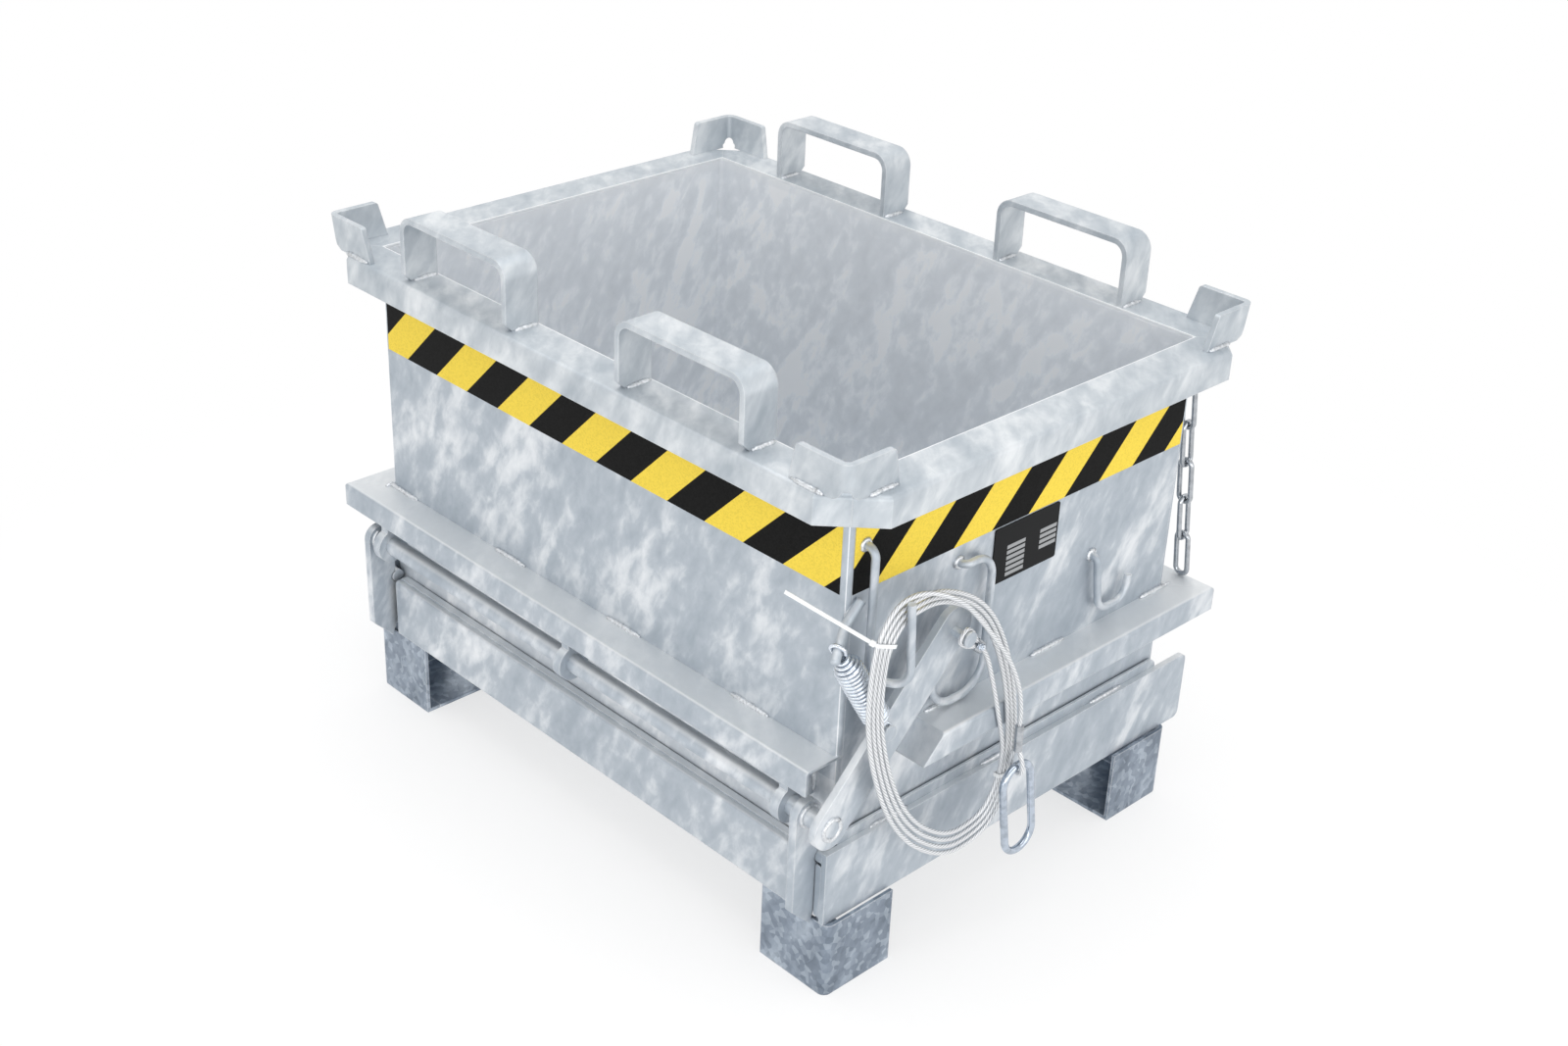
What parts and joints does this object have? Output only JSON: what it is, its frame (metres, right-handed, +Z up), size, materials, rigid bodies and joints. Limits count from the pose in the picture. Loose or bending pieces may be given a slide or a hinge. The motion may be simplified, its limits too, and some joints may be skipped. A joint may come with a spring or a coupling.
{
  "type": "bottom-opening container",
  "caption": "Galvanised site container with fork loops, stacking corners and a hinged bottom flap that a sprung lever latch releases by rope.",
  "frame": {"origin": "centre of the footprint on the floor under the feet", "axes": "+X along the long side towards the lever, -Y towards the latch shaft, +Z up"},
  "size_m": [1.0269, 0.739, 0.78],
  "materials": {
    "galvanised": "hot-dip zinc, satin and faintly mottled",
    "galvanised_dark": "hot-dip zinc, darker blue grey with a stronger spangle",
    "plated": "bright zinc plating",
    "rope": "clear sheath over steel strand",
    "hazard_tape": "slanted yellow and black stripes",
    "type_plate": "blank black plate",
    "tie": "white nylon"
  },
  "bodies": {
    "container": {"front_wall": "galvanised", "back_wall": "galvanised", "latch_side_wall": "galvanised", "far_side_wall": "galvanised", "rim_front": "galvanised", "rim_back": "galvanised", "rim_latch_side": "galvanised", "rim_far_side": "galvanised", "collar_front": "galvanised", "collar_back": "galvanised", "collar_latch_side": "galvanised", "collar_far_side": "galvanised", "fork_loop_front_left": "galvanised", "fork_loop_front_right": "galvanised", "fork_loop_back_left": "galvanised", "fork_loop_back_right": "galvanised", "stack_corner_front_left": "galvanised", "stack_corner_front_right": "galvanised", "stack_corner_back_left": "galvanised", "stack_corner_back_right": "galvanised", "shaft_lugs": "galvanised", "hinge_lugs": "galvanised", "rope_hook_front": "galvanised", "rope_hook_rear": "galvanised", "ring_hook": "galvanised", "spring_anchor": "galvanised", "chain_staple": "galvanised", "type_plate": "type_plate", "tape_front": "hazard_tape", "tape_latch_side": "hazard_tape", "safety_chain": "plated", "tension_spring": "plated", "rope_lead": "rope", "rope_coil": "rope", "rope_tie_upper": "tie", "rope_tie_lower": "tie", "rope_ferrule": "plated", "rope_eye_ring": "rope", "pull_ring": "plated"},
    "flap": {"floor_plate": "galvanised", "front_skirt": "galvanised", "upstand_latch_side": "galvanised", "upstand_far_side": "galvanised", "ear_latch_side": "galvanised", "ear_far_side": "galvanised", "hinge_rod": "galvanised", "catch_pins": "galvanised", "foot_front_left": "galvanised_dark", "foot_front_right": "galvanised_dark", "foot_back_left": "galvanised_dark", "foot_back_right": "galvanised_dark"},
    "latch": {"latch_shaft": "galvanised", "hook_left": "galvanised", "hook_right": "galvanised", "lever": "galvanised", "lever_pins": "plated", "rope_eye_lever": "rope", "rope_clip": "plated"}
  },
  "joints": [
    {"name": "flap_hinge", "type": "hinge", "parent": "container", "child": "flap", "pos_m": [0, 0.338, 0.17], "axis": [1, 0, 0], "range_deg": [0, 80]},
    {"name": "latch_turn", "type": "hinge", "parent": "container", "child": "latch", "pos_m": [0, -0.345, 0.264], "axis": [-1, 0, 0], "range_deg": [0, 15], "stiffness_Nm_per_rad": 12, "springref_deg": -28.65, "deforming": ["tension_spring", "rope_lead"]}
  ]
}
